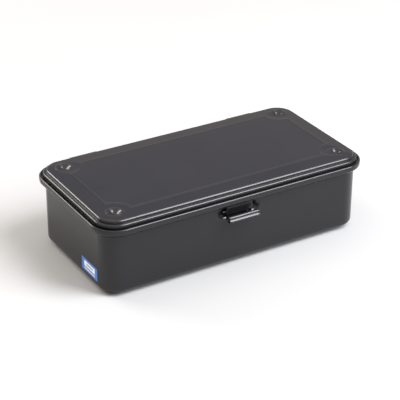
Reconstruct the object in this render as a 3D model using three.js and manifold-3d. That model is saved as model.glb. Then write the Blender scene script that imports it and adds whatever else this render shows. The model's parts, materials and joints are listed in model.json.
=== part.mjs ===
// Small pressed-steel trunk box: a deep-drawn tray with a rolled rim, a domed lid on two
// riveted rear hinges, and a sprung finger latch in the front wall.
// Millimetres, +Z up, X along the length, the latch on the -Y side.
import * as THREE from 'three';
import { mergeVertices } from 'three/addons/utils/BufferGeometryUtils.js';
import Module from 'manifold-3d';

const wasm = await Module();
wasm.setup();

// ---- Driving dimensions -------------------------------------------------------------
// A "reach" is the distance from the tray's middle plane to a surface on its long sides.
// On the short sides the same surface stands SIDE_EXTRA further out.
const RIM_LENGTH = 203;
const RIM_REACH = 52.2;
const SIDE_EXTRA = RIM_LENGTH / 2 - RIM_REACH;
const HEIGHT = 55.5;
const SHEET = 0.7;
const GAP = 0.3;

const CORNER_X = 84.4; // centres of the four vertical corner arcs
const CORNER_Y = CORNER_X - SIDE_EXTRA;
const CORNER_STEPS = 5; // flats in a quarter turn of the plan
const PANEL_REACH = CORNER_Y + 2; // where a shell's swept section meets its flat panel
const PRESSING_SIDES = 14; // flats round a foot or a dish
const POCKET_SIDES = 16;
const RIVET_SIDES = 10;
const HOLE_SIDES = 12;
const HEM_BEND_R = 0.44; // bends of the middle line where the sheet folds or rolls tightly
const STEP_BEND_R = 0.6; // and where it steps in or out

const WALL_REACH = 48.1;
const FOOT_HEIGHT = 2.2;
const FOOT_TOP_R = 4.6;
const FOOT_FLAT_R = 3;
const PRESSING_LAND = 0.8; // flat ring that joins a pressing to its panel
const PRESSING_SLANT = 0.4; // how far a slanting part's two faces stand apart across it
const BASE_RADIUS = 3.5;
const LEDGE_Z = 49;
const RIM_TOP_Z = 50.3;
const RIM_GROOVE_REACH = 50.6;
const RIM_CURL_Z = 46.9;
const RIM_CURL_END_Z = 44.7;
const RIM_CURL_END_REACH = WALL_REACH + 1.2;

const LID_SKIRT_REACH = 47.4;
const LID_BEAD_REACH = 49.6;
const LID_EDGE_R = 1.05;
const LID_EDGE_DROP = 0.6;
const LID_FLAT_REACH = 42.3;
const LID_STEP_Z = 52.7;
const LID_HEM_Z = LEDGE_Z + 0.35;
const LID_HEM = { fold: 0.9, height: 2 };
const DISH_R = 4.2;
const DISH_DEPTH = 1.5;
const DISH_FLOOR_R = 2.5;
const DISH_RING_R = 5.7;
const DISH_RING_DEPTH = 0.3;

const HINGE_X = 62;
const HINGE_WIDTH = 20;
const HINGE_AXIS = { y: 52.2, z: 50.2 };
const KNUCKLE_R = 1.4;
const KNUCKLE_WIDTH = 7.4;
const HINGE_PIN_R = 0.6;
const BODY_LEAF_LOW_Z = 32.5;
const LID_LEAF_WIDTH = 16;
const LID_LEAF_TONGUE_Z = HINGE_AXIS.z + KNUCKLE_R - SHEET / 2;
const LID_LEAF_PAD_Z = 54;
const LID_LEAF_PAD_LENGTH = 6.5;
const LID_LEAF_WEB_Y = 43.2;
const LEAF_BEND_R = 1.2;
const PIN_PLAY = 0.06;
const RIVET_DX = 6.5;
const RIVET_ROWS_Z = [35.6, 41];
const RIVET = {
  shankR: 0.9, holeR: 1.25, headR: 1.9, headHeight: 0.95, tailR: 1.7, tailHeight: 0.9,
  edge: 0.32, shoulder: 0.8, // height of a head's straight side, and of its rounded shoulder
};
const LEAF_NOTCH_PLAY = 0.05; // between the wall and the notches cut in the tray's rim

const LATCH_AXIS = { y: -45.6, z: 39.4 };
const LATCH_PIN_R = 0.8;
const LATCH_PIN_LENGTH = 22.4;
const LEVER_ARM_Y = -44.45;
const LEVER_KNUCKLE_R = 1.55;
const LEVER_KNUCKLE_X = [3.2, 9.5];
const LEVER_WINDOW = { halfWidth: 3.2, low: LATCH_AXIS.z - 2, high: LATCH_AXIS.z + 2.7 };
const LEVER_SHOULDER_Z = LATCH_AXIS.z + 3;
const HOOK_HALF_WIDTH = 6.6;
const HOOK_Z = 50.4;
const HOOK_TIP_Y = -43.2;
const NECK_Z = 35.65;
const NECK_HALF_WIDTH = 9.6;
const TAB_HALF_WIDTH = 11.6;
const TAB_FOLD = { y: -54.9, z: NECK_Z + 0.6, r: 0.6, from: -90, to: -235, steps: 6 };
const TAB_CURL = { y: -53.45, z: 38, r: 0.95, from: 205, to: -60, steps: 10 };
const SLOT = { halfWidth: 10.1, low: 34.6, high: 37.8 };
const POCKET = { x: 9.9, length: 6.6, depth: 4.4, halfHeight: 4.9, rings: 5 };
const POCKET_SPAN = 3 * POCKET.x; // how far out in x the pockets may reach
const SPRING = {
  wireR: 0.25, coilR: 1.28, halfLength: 2.4, turns: 3.59, wallLeg: 4.4, armLeg: 3.2,
  stepsPerTurn: 10, sweepSteps: 60,
};
const KEEPER = { webY: -41.3, lipY: HOOK_TIP_Y + 0.35, lipZ: HOOK_Z - 2, padLength: 6, width: 14 };

const LABEL = { y: -23.9, z: 11.9, width: 21.5, height: 9, thickness: 0.3 };

const FRONT_REACH = -TAB_FOLD.y + TAB_FOLD.r + SHEET / 2;
const REAR_REACH = HINGE_AXIS.y + KNUCKLE_R;

// ---- Materials ----------------------------------------------------------------------
const paint = () => new THREE.MeshStandardMaterial({ color: 0x2a292b, roughness: 0.42, metalness: 0.1 });
const steel = () => new THREE.MeshStandardMaterial({ color: 0xa9abad, roughness: 0.35, metalness: 1 });
const printed = () => new THREE.MeshStandardMaterial({ color: 0x3f7fb8, roughness: 0.5, metalness: 0 });

// ---- Solids -------------------------------------------------------------------------
function toSolid(geometry) {
  const bare = geometry.clone();
  for (const name of Object.keys(bare.attributes)) {
    if (name !== 'position') bare.deleteAttribute(name);
  }
  const merged = mergeVertices(bare, 1e-4);
  return new wasm.Manifold(new wasm.Mesh({
    numProp: 3,
    vertProperties: new Float32Array(merged.attributes.position.array),
    triVerts: new Uint32Array(merged.index.array),
  }));
}

function toGeometry(solid) {
  const mesh = solid.getMesh();
  const geometry = new THREE.BufferGeometry();
  geometry.setAttribute('position', new THREE.BufferAttribute(mesh.vertProperties, 3));
  geometry.setIndex(new THREE.BufferAttribute(mesh.triVerts, 1));
  geometry.computeVertexNormals();
  return geometry;
}

function box(low, high) {
  const size = high.map((value, i) => value - low[i]);
  const geometry = new THREE.BoxGeometry(...size);
  geometry.translate(...low.map((value, i) => value + size[i] / 2));
  return toSolid(geometry);
}

// A round bar along X.
function barX(radius, from, to, y, z, sides = 16) {
  const geometry = new THREE.CylinderGeometry(radius, radius, to - from, sides);
  geometry.rotateZ(Math.PI / 2);
  geometry.translate((from + to) / 2, y, z);
  return toSolid(geometry);
}

// A turned piece: points are [radius, height] along a closed or axis-to-axis profile.
function turned(points, sides) {
  const profile = points.map(([radius, height]) => new THREE.Vector2(radius, height));
  const geometry = new THREE.LatheGeometry(profile, sides);
  geometry.rotateX(Math.PI / 2);
  return geometry;
}

// ---- Sheet-metal sections -----------------------------------------------------------
// A section is a list of [a, z] corners of the sheet's middle line, each with an optional
// bend radius; bends become arcs of a few steps.
function bendCorners(corners, steps = 3) {
  const line = [];
  corners.forEach(([a, z, radius], i) => {
    const here = new THREE.Vector2(a, z);
    if (!radius || i === 0 || i === corners.length - 1) {
      line.push(here);
      return;
    }
    const back = new THREE.Vector2(...corners[i - 1].slice(0, 2)).sub(here).normalize();
    const ahead = new THREE.Vector2(...corners[i + 1].slice(0, 2)).sub(here).normalize();
    const half = Math.acos(THREE.MathUtils.clamp(back.dot(ahead), -1, 1)) / 2;
    const centre = back.clone().add(ahead).normalize().multiplyScalar(radius / Math.sin(half)).add(here);
    const from = back.multiplyScalar(radius / Math.tan(half)).add(here).sub(centre);
    const to = ahead.multiplyScalar(radius / Math.tan(half)).add(here).sub(centre);
    const turn = Math.atan2(from.cross(to), from.dot(to));
    for (let k = 0; k <= steps; k += 1) {
      line.push(from.clone().rotateAround(new THREE.Vector2(), (turn * k) / steps).add(centre));
    }
  });
  return line;
}

// Both faces of a sheet whose middle line is given, as one open loop: out along the
// right-hand face and back along the left-hand one, with the metal on its left.
function sheetLoop(line, thickness = SHEET) {
  const side = (sign) => line.map((point, i) => {
    const before = line[Math.max(i - 1, 0)];
    const after = line[Math.min(i + 1, line.length - 1)];
    const into = point.clone().sub(before).normalize();
    const out = after.clone().sub(point).normalize();
    if (i === 0) into.copy(out);
    if (i === line.length - 1) out.copy(into);
    const mean = into.clone().add(out).normalize();
    const stretch = (sign * thickness) / 2 / mean.dot(into);
    return new THREE.Vector2(point.x - mean.y * stretch, point.y + mean.x * stretch);
  });
  return [...side(-1), ...side(1).reverse()];
}

// A bent strip: a section in the Y-Z plane, extruded along X from -width/2 to +width/2.
function strip(line, width, thickness = SHEET) {
  const shape = new THREE.Shape(sheetLoop(line, thickness));
  const geometry = new THREE.ExtrudeGeometry(shape, { depth: width, bevelEnabled: false });
  geometry.translate(0, 0, -width / 2);
  // The shape's (x, y) become (y, z) and the depth becomes x.
  geometry.applyMatrix4(new THREE.Matrix4().makeBasis(
    new THREE.Vector3(0, 1, 0), new THREE.Vector3(0, 0, 1), new THREE.Vector3(1, 0, 0)));
  return toSolid(geometry);
}

// ---- Pressed shells -----------------------------------------------------------------
// One ring of the box's plan: a rectangle with round corners at the given reach.
function planRing(reach, z) {
  const ring = [];
  const radius = reach - CORNER_Y;
  const quadrants = [[1, 1], [-1, 1], [-1, -1], [1, -1]];
  quadrants.forEach(([sx, sy], quadrant) => {
    for (let k = 0; k <= CORNER_STEPS; k += 1) {
      const angle = (quadrant + k / CORNER_STEPS) * (Math.PI / 2);
      const x = sx * CORNER_X + radius * Math.cos(angle);
      const y = sy * CORNER_Y + radius * Math.sin(angle);
      ring.push([x, y, z]);
    }
  });
  return ring;
}

// Sweeps a section of [reach, z] points round the plan, and closes its two innermost rings
// with flat panels. The section runs so that the solid lies on its left.
function pressedShell(loop) {
  const positions = [];
  const index = [];
  const rings = loop.map(({ x, y }) => planRing(x, y));
  const count = rings[0].length;
  rings.flat().forEach((point) => positions.push(...point));
  for (let r = 0; r + 1 < rings.length; r += 1) {
    for (let k = 0; k < count; k += 1) {
      const a = r * count + k;
      const b = r * count + ((k + 1) % count);
      index.push(a, b, b + count, a, b + count, a + count);
    }
  }
  const closeRing = (first, flip) => {
    const middle = positions.length / 3;
    positions.push(0, 0, positions[first * 3 + 2]);
    for (let k = 0; k < count; k += 1) {
      const a = first + k;
      const b = first + ((k + 1) % count);
      index.push(...(flip ? [middle, b, a] : [middle, a, b]));
    }
  };
  closeRing(0, true);
  closeRing((rings.length - 1) * count, false);
  const geometry = new THREE.BufferGeometry();
  geometry.setAttribute('position', new THREE.BufferAttribute(new Float32Array(positions), 3));
  geometry.setIndex(index);
  return toSolid(geometry);
}

const fourCorners = [[-1, -1], [1, -1], [-1, 1], [1, 1]];

// Replaces a disc of flat panel at each corner centre with a turned pressing.
function withCornerPressings(shell, profile, holeRadius, low, high) {
  let result = shell;
  for (const [sx, sy] of fourCorners) {
    const hole = new THREE.CylinderGeometry(holeRadius, holeRadius, high - low, PRESSING_SIDES);
    hole.rotateX(Math.PI / 2);
    hole.translate(sx * CORNER_X, sy * CORNER_Y, (low + high) / 2);
    const pressing = turned(profile, PRESSING_SIDES);
    pressing.translate(sx * CORNER_X, sy * CORNER_Y, 0);
    result = result.subtract(toSolid(hole)).add(toSolid(pressing));
  }
  return result;
}

// ---- Tray ---------------------------------------------------------------------------
function trayShell() {
  const mid = SHEET / 2;
  const line = bendCorners([
    [PANEL_REACH, FOOT_HEIGHT + mid],
    [WALL_REACH - mid, FOOT_HEIGHT + mid, BASE_RADIUS - mid],
    [WALL_REACH - mid, LEDGE_Z - mid, STEP_BEND_R],
    [RIM_GROOVE_REACH + mid, LEDGE_Z - mid, STEP_BEND_R],
    [RIM_GROOVE_REACH + mid, RIM_TOP_Z - mid, HEM_BEND_R],
    [RIM_REACH - mid, RIM_TOP_Z - mid, HEM_BEND_R],
    [RIM_REACH - mid, RIM_CURL_Z, LEAF_BEND_R],
    [RIM_CURL_END_REACH, RIM_CURL_END_Z],
  ], 2);
  return pressedShell(sheetLoop(line));
}

function footProfile() {
  return [
    [0, 0], [FOOT_FLAT_R, 0], [FOOT_TOP_R, FOOT_HEIGHT], [FOOT_TOP_R + PRESSING_LAND, FOOT_HEIGHT],
    [FOOT_TOP_R + PRESSING_LAND, FOOT_HEIGHT + SHEET],
    [FOOT_TOP_R - PRESSING_SLANT, FOOT_HEIGHT + SHEET],
    [FOOT_FLAT_R - PRESSING_SLANT, SHEET], [0, SHEET],
  ];
}

// A half-dome pressed into the box beside the latch slot, sheared open towards the slot.
// It rises softly from the wall and is deepest at the slot, where it holds the pin's end.
function pocketDome(side, grow) {
  const profile = [new THREE.Vector2(0, 0)];
  for (let k = POCKET.rings; k >= 0; k -= 1) {
    const share = k / POCKET.rings;
    profile.push(new THREE.Vector2(share, Math.cos((share * Math.PI) / 2) ** 2));
  }
  const geometry = new THREE.LatheGeometry(profile, POCKET_SIDES);
  geometry.scale(POCKET.length + grow, POCKET.depth + grow, POCKET.halfHeight + grow);
  geometry.translate(side * POCKET.x, -WALL_REACH, LATCH_AXIS.z);
  const [from, to] = [POCKET.x, POCKET_SPAN].map((x) => side * x);
  const keep = box([Math.min(from, to), -2 * WALL_REACH, 0], [Math.max(from, to), 0, LEDGE_Z]);
  return toSolid(geometry).intersect(keep);
}

function withPockets(tray) {
  const inside = box([-POCKET_SPAN, -WALL_REACH + SHEET / 2, 0], [POCKET_SPAN, 0, LEDGE_Z]);
  let result = tray;
  for (const side of [-1, 1]) {
    result = result.add(pocketDome(side, SHEET).intersect(inside));
    result = result.subtract(pocketDome(side, 0));
  }
  return result;
}

function rivetHole(x, z) {
  const length = 8 * SHEET; // well past both the wall and the leaf
  const geometry = new THREE.CylinderGeometry(RIVET.holeR, RIVET.holeR, length, HOLE_SIDES);
  geometry.translate(x, WALL_REACH, z);
  return toSolid(geometry);
}

function buildTray() {
  let tray = withCornerPressings(trayShell(), footProfile(), FOOT_TOP_R + PRESSING_LAND / 2,
    FOOT_HEIGHT - SHEET, FOOT_HEIGHT + 2 * SHEET);
  tray = withPockets(tray);
  tray = tray.subtract(box([-SLOT.halfWidth, -WALL_REACH - SHEET, SLOT.low],
    [SLOT.halfWidth, -WALL_REACH + 2 * SHEET, SLOT.high]));
  for (const x of [-HINGE_X, HINGE_X]) {
    const half = HINGE_WIDTH / 2 + GAP;
    tray = tray.subtract(box([x - half, WALL_REACH + LEAF_NOTCH_PLAY, RIM_CURL_END_Z - SHEET],
      [x + half, RIM_REACH + SHEET, RIM_TOP_Z + SHEET]));
    for (const z of RIVET_ROWS_Z) {
      for (const dx of [-RIVET_DX, RIVET_DX]) tray = tray.subtract(rivetHole(x + dx, z));
    }
  }
  return tray;
}

// ---- Lid ----------------------------------------------------------------------------
function lidShell() {
  const mid = SHEET / 2;
  const edgeZ = HEIGHT - LID_EDGE_DROP - mid;
  const line = bendCorners([
    [PANEL_REACH, HEIGHT - mid],
    [LID_FLAT_REACH, HEIGHT - mid],
    [LID_SKIRT_REACH - mid, edgeZ, LID_EDGE_R],
    [LID_SKIRT_REACH - mid, LID_STEP_Z - mid, STEP_BEND_R],
    [LID_BEAD_REACH - mid, LID_STEP_Z - mid, STEP_BEND_R],
    [LID_BEAD_REACH - mid, LID_HEM_Z + mid, HEM_BEND_R],
    [LID_BEAD_REACH - mid - LID_HEM.fold, LID_HEM_Z + mid, HEM_BEND_R],
    [LID_BEAD_REACH - mid - LID_HEM.fold, LID_HEM_Z + LID_HEM.height],
  ], 2);
  return pressedShell(sheetLoop(line));
}

function dishProfile() {
  const upper = [
    [0, HEIGHT - DISH_DEPTH], [DISH_FLOOR_R, HEIGHT - DISH_DEPTH],
    [DISH_R, HEIGHT - DISH_RING_DEPTH], [DISH_RING_R - DISH_RING_DEPTH, HEIGHT - DISH_RING_DEPTH],
    [DISH_RING_R, HEIGHT], [DISH_RING_R + PRESSING_LAND, HEIGHT],
  ];
  const lower = upper.map(([radius, z]) => [radius, z - SHEET]);
  lower[1][0] += PRESSING_SLANT;
  lower[2][0] += PRESSING_SLANT;
  return [...lower, ...upper.reverse()];
}

function buildLid() {
  let lid = withCornerPressings(lidShell(), dishProfile(), DISH_RING_R + PRESSING_LAND / 2,
    HEIGHT - 2 * SHEET, HEIGHT + SHEET);
  for (const x of [-HINGE_X, HINGE_X]) {
    const half = LID_LEAF_WIDTH / 2 + GAP;
    lid = lid.subtract(box([x - half, LID_SKIRT_REACH - SHEET / 2, LID_HEM_Z - SHEET],
      [x + half, LID_BEAD_REACH + SHEET, LID_LEAF_TONGUE_Z + SHEET / 2 + GAP]));
  }
  return lid;
}

// ---- Hinges -------------------------------------------------------------------------
function tangentPoint(from, centre, radius) {
  const toCentre = new THREE.Vector2(centre.y - from[0], centre.z - from[1]);
  const angle = toCentre.angle() - Math.asin(radius / toCentre.length());
  const length = Math.sqrt(toCentre.lengthSq() - radius * radius);
  return [from[0] + length * Math.cos(angle), from[1] + length * Math.sin(angle)];
}

// A round bar on the hinge axis, centred on x = 0.
const hingeBar = (radius, length) => barX(radius, -length / 2, length / 2, HINGE_AXIS.y, HINGE_AXIS.z);

// The space round the hinge axis from x = from to x = to, out to the given distance.
function hingeSpace(from, to, distance) {
  return box([from, HINGE_AXIS.y - distance, HINGE_AXIS.z - distance],
    [to, HINGE_AXIS.y + distance, HINGE_AXIS.z + distance]);
}

function buildBodyLeaf() {
  const leafY = WALL_REACH + GAP + SHEET / 2;
  const bend = [leafY, RIM_CURL_END_Z + SHEET];
  const end = tangentPoint(bend, HINGE_AXIS, KNUCKLE_R - SHEET / 2);
  const line = bendCorners([[leafY, BODY_LEAF_LOW_Z], [...bend, LEAF_BEND_R], end]);
  const inner = KNUCKLE_WIDTH / 2 + GAP;
  let leaf = strip(line, HINGE_WIDTH)
    .add(hingeBar(KNUCKLE_R, HINGE_WIDTH))
    .subtract(hingeBar(HINGE_PIN_R + PIN_PLAY, 2 * HINGE_WIDTH))
    .subtract(hingeSpace(-inner, inner, KNUCKLE_R + SHEET));
  for (const z of RIVET_ROWS_Z) {
    for (const dx of [-RIVET_DX, RIVET_DX]) leaf = leaf.subtract(rivetHole(dx, z));
  }
  return leaf;
}

function buildLidLeaf() {
  const line = bendCorners([
    [HINGE_AXIS.y, LID_LEAF_TONGUE_Z],
    [LID_LEAF_WEB_Y, LID_LEAF_TONGUE_Z, STEP_BEND_R],
    [LID_LEAF_WEB_Y, LID_LEAF_PAD_Z, STEP_BEND_R],
    [LID_LEAF_WEB_Y - LID_LEAF_PAD_LENGTH, LID_LEAF_PAD_Z],
  ]);
  const half = KNUCKLE_WIDTH / 2;
  return strip(line, LID_LEAF_WIDTH)
    .subtract(hingeSpace(-LID_LEAF_WIDTH, -half, KNUCKLE_R + SHEET))
    .subtract(hingeSpace(half, LID_LEAF_WIDTH, KNUCKLE_R + SHEET))
    .add(hingeBar(KNUCKLE_R, KNUCKLE_WIDTH))
    .subtract(hingeBar(HINGE_PIN_R + PIN_PLAY, 2 * HINGE_WIDTH));
}

// A rivet along Y through the leaf and the tray wall, centred on its own axis. Head and
// tail are low domes: a short straight side, then a chamfer to a nearly flat top.
function buildRivet() {
  const outside = WALL_REACH + GAP + SHEET + GAP;
  const inside = WALL_REACH - SHEET - GAP;
  const { edge, shoulder } = RIVET;
  const geometry = turned([
    [0, inside - RIVET.tailHeight], [RIVET.tailR - shoulder / 2, inside - shoulder],
    [RIVET.tailR, inside - edge], [RIVET.tailR, inside], [RIVET.shankR, inside],
    [RIVET.shankR, outside], [RIVET.headR, outside], [RIVET.headR, outside + edge],
    [RIVET.headR - shoulder / 2, outside + shoulder], [0, outside + RIVET.headHeight],
  ], RIVET_SIDES);
  // The turned axis is Z; lay it along Y without mirroring the piece.
  geometry.rotateX(-Math.PI / 2);
  return toSolid(geometry);
}

// ---- Latch --------------------------------------------------------------------------
// Points of an arc in the Y-Z plane, its angles in degrees.
function arcPoints({ y, z, r, from, to, steps }) {
  const points = [];
  for (let k = 0; k <= steps; k += 1) {
    const angle = THREE.MathUtils.degToRad(from + ((to - from) * k) / steps);
    points.push(new THREE.Vector2(y + r * Math.cos(angle), z + r * Math.sin(angle)));
  }
  return points;
}

// One bent strip: hook, upright arm, neck through the slot and the finger tab, which is
// folded up at its front and rolled over at its top. It is as wide as the tab at first; the
// neck and the hook are then trimmed on both sides.
function buildLever() {
  const bends = bendCorners([
    [HOOK_TIP_Y, HOOK_Z],
    [LEVER_ARM_Y, HOOK_Z, STEP_BEND_R],
    [LEVER_ARM_Y, NECK_Z, STEP_BEND_R],
    [TAB_FOLD.y, NECK_Z],
  ]);
  const line = [...bends.slice(0, -1), ...arcPoints(TAB_FOLD), ...arcPoints(TAB_CURL)];
  const full = 2 * TAB_HALF_WIDTH;
  const hookBack = LEVER_ARM_Y - SHEET;
  const tabBack = TAB_CURL.y + TAB_CURL.r + SHEET;
  let lever = strip(line, full);
  for (const side of [-1, 1]) {
    const trim = (halfWidth, frontY, lowZ) => {
      const [from, to] = side > 0 ? [halfWidth, full] : [-full, -halfWidth];
      lever = lever.subtract(box([from, frontY, lowZ], [to, 0, HEIGHT]));
    };
    trim(NECK_HALF_WIDTH, tabBack, 0);
    trim(HOOK_HALF_WIDTH, hookBack, LEVER_SHOULDER_Z);
    const [from, to] = LEVER_KNUCKLE_X.map((x) => side * x);
    lever = lever.add(barX(LEVER_KNUCKLE_R, Math.min(from, to), Math.max(from, to),
      LATCH_AXIS.y, LATCH_AXIS.z));
  }
  return lever
    .subtract(box([-LEVER_WINDOW.halfWidth, -WALL_REACH, LEVER_WINDOW.low],
      [LEVER_WINDOW.halfWidth, 0, LEVER_WINDOW.high]))
    .subtract(barX(LATCH_PIN_R + PIN_PLAY, -full, full, LATCH_AXIS.y, LATCH_AXIS.z));
}

function buildLatchPin() {
  const half = LATCH_PIN_LENGTH / 2;
  return barX(LATCH_PIN_R, -half, half, LATCH_AXIS.y, LATCH_AXIS.z);
}

// A torsion spring coiled round the pin. Its first leg lies up the inside of the front
// wall; its last leans through the window in the lever's arm, towards the window's top edge.
function buildSpring() {
  const steps = Math.round(SPRING.turns * SPRING.stepsPerTurn);
  const turn = 2 * Math.PI * SPRING.turns;
  const on = (angle, x) => new THREE.Vector3(x,
    LATCH_AXIS.y - SPRING.coilR * Math.cos(angle), LATCH_AXIS.z - SPRING.coilR * Math.sin(angle));
  const coil = [];
  for (let k = 0; k <= steps; k += 1) {
    coil.push(on((turn * k) / steps, SPRING.halfLength * ((2 * k) / steps - 1)));
  }
  const wallLeg = coil[0].clone().add(new THREE.Vector3(0, 0, SPRING.wallLeg));
  const leaving = new THREE.Vector3(0, Math.sin(turn), -Math.cos(turn));
  const armLeg = coil[steps].clone().addScaledVector(leaving, SPRING.armLeg);
  const route = new THREE.CatmullRomCurve3([wallLeg, ...coil, armLeg], false, 'centripetal');
  const section = new THREE.Shape();
  section.absarc(0, 0, SPRING.wireR, 0, 2 * Math.PI);
  return toSolid(new THREE.ExtrudeGeometry(section, {
    steps: SPRING.sweepSteps, curveSegments: 3, extrudePath: route, bevelEnabled: false,
  }));
}

// The catch under the lid: a pad welded to the panel, a web and a lip for the hook.
function buildKeeper() {
  const padZ = HEIGHT - SHEET - GAP - SHEET / 2;
  return strip(bendCorners([
    [KEEPER.webY + KEEPER.padLength, padZ],
    [KEEPER.webY, padZ, STEP_BEND_R],
    [KEEPER.webY, KEEPER.lipZ, STEP_BEND_R],
    [KEEPER.lipY, KEEPER.lipZ],
  ]), KEEPER.width);
}

// ---- Label --------------------------------------------------------------------------
function buildLabel() {
  const face = -(WALL_REACH + SIDE_EXTRA) - GAP;
  return box([face - LABEL.thickness, LABEL.y - LABEL.width / 2, LABEL.z - LABEL.height / 2],
    [face, LABEL.y + LABEL.width / 2, LABEL.z + LABEL.height / 2]);
}

// ---- Assembly -----------------------------------------------------------------------
const group = new THREE.Group();
// The origin is the middle of the overall footprint, at the level of the feet.
group.position.y = (FRONT_REACH - REAR_REACH) / 2;

function place(name, solid, material, x = 0, z = 0) {
  const mesh = new THREE.Mesh(toGeometry(solid), material);
  mesh.name = name;
  mesh.position.set(x, 0, z);
  group.add(mesh);
}

place('body_tray', buildTray(), paint());
place('lid_shell', buildLid(), paint());
place('latch_lever', buildLever(), paint());
place('latch_pin', buildLatchPin(), steel());
place('latch_spring', buildSpring(), steel());
place('lid_keeper', buildKeeper(), paint());
place('side_label', buildLabel(), printed());
for (const [side, x] of [['left', -HINGE_X], ['right', HINGE_X]]) {
  place(`hinge_${side}_body_leaf`, buildBodyLeaf(), paint(), x);
  place(`hinge_${side}_lid_leaf`, buildLidLeaf(), paint(), x);
  place(`hinge_${side}_pin`, hingeBar(HINGE_PIN_R, HINGE_WIDTH), steel(), x);
  let number = 1;
  for (const z of RIVET_ROWS_Z) {
    for (const dx of [-RIVET_DX, RIVET_DX]) {
      place(`hinge_${side}_rivet_${number}`, buildRivet(), steel(), x + dx, z);
      number += 1;
    }
  }
}

export default group;
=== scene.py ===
import json
import math

import bpy
import numpy as np
from mathutils import Matrix, Vector


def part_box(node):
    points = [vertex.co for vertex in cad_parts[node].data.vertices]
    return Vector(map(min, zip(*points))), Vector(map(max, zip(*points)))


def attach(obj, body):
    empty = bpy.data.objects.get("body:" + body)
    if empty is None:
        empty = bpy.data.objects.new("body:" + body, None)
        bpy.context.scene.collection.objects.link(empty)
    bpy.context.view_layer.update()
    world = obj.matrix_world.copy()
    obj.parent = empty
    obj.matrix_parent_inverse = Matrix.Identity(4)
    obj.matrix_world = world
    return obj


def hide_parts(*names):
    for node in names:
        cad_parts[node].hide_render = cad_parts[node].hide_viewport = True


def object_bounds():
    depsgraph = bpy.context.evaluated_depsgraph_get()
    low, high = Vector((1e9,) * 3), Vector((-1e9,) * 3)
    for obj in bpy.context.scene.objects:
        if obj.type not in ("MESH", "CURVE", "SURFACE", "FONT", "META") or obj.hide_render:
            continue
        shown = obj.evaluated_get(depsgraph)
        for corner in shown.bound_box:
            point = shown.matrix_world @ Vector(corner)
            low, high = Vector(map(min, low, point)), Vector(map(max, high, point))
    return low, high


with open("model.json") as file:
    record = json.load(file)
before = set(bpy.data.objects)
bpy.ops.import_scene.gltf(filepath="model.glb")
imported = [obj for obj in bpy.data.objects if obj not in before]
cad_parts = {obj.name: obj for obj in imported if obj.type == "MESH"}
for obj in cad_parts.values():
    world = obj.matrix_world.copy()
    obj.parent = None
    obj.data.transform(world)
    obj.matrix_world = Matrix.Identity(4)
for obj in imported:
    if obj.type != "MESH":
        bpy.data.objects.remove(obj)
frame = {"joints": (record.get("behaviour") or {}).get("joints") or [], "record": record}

cad_low, cad_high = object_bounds()

# ---- Sizes, from the frame ----------------------------------------------------------
MM = 0.001
tray_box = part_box("body_tray")
MIDDLE_Y = (tray_box[0].y + tray_box[1].y) / 2


def local(point):
    """A point of the frame, in millimetres from the tray's middle plane."""
    return (np.array(point) - (0, MIDDLE_Y, 0)) / MM


def local_box(node):
    """The low and high corners of a node's box, in the same millimetres."""
    return [local(corner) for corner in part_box(node)]


def half_width_of(node):
    """Half of a node's width along x."""
    low, high = local_box(node)
    return (high[0] - low[0]) / 2


def middle_x_of(node):
    """The middle of a node's width along x."""
    low, high = local_box(node)
    return (low[0] + high[0]) / 2


MOUNTS = {m["name"]: local(m["pos_m"]) for m in frame["record"]["mounts"]}
JOINTS = {j["name"]: local(j["pos_m"]) for j in frame["joints"]}

SHEET = 0.7
HALF = SHEET / 2
GAP = 0.3  # play round a part that passes through a sheet

# A reach is the distance from the middle plane to a surface on the long sides. On the short
# sides the same surface stands SIDE_EXTRA further out.
TRAY_HIGH = local_box("body_tray")[1]
LID_LOW, LID_HIGH = local_box("lid_shell")
RIM_REACH = TRAY_HIGH[1]
SIDE_EXTRA = TRAY_HIGH[0] - RIM_REACH
CORNER = MOUNTS["foot_rear_right"][:2]  # centre of the round corner, and of its foot
TOP = LID_HIGH[2]
BASE_Z = MOUNTS["underside"][2]

WALL_REACH = RIM_REACH - 4.1
WALL_LINE = WALL_REACH - HALF
BASE_BEND = 3.15
BASE_FLAT_REACH = WALL_LINE - 3.2  # where the tray's flat base ends and its bend begins
RIM_TOP = TRAY_HIGH[2]
LEDGE_Z = RIM_TOP - 1.3
GROOVE_REACH = RIM_REACH - 1.6
RIM_CURL_Z = RIM_TOP - 3.4
RIM_CURL_END = (WALL_REACH + 1.2, RIM_TOP - 5.6)
HEM_BEND = 0.44  # where the sheet folds or rolls back

BEAD_REACH = LID_HIGH[1]
SKIRT_REACH = BEAD_REACH - 2.2
STEP_Z = TOP - 2.8
HEM_Z = LID_LOW[2]
HEM_FOLD = 0.95
HEM_HEIGHT = 2
EDGE_DROP = 0.55  # the lid panel's fall from its bead to its edge

HINGE_SIDES = ("left", "right")
HINGE_XS = [middle_x_of(f"hinge_{side}_pin") for side in HINGE_SIDES]
HINGE_AXIS = JOINTS["lid_hinge"][1:]
HINGE_KNUCKLE_R = 1.4
RIVET_NUMBERS = (1, 2, 3, 4)
LATCH_AXIS = JOINTS["latch_press"][1:]

LINE_STEP = math.radians(12)
FINE_LINE_STEP = math.radians(9)


# ---- Meshes -------------------------------------------------------------------------
SMOOTH_ANGLE = 32  # degrees; an edge that turns further is shaded sharp
SOFTENED_ANGLE = 50  # degrees; an edge that turns further is rounded off


def link(name, data):
    """A new object of the scene that shows the data."""
    obj = bpy.data.objects.new(name, data)
    bpy.context.scene.collection.objects.link(obj)
    return obj


def new_object(name, vertices, faces):
    """An object in the frame's metres from vertices in local millimetres."""
    placed = np.asarray(vertices, float) * MM + (0, MIDDLE_Y, 0)
    mesh = bpy.data.meshes.new(name)
    mesh.from_pydata(placed.tolist(), [], [tuple(face) for face in faces])
    mesh.validate()
    return link(name, mesh)


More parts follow.
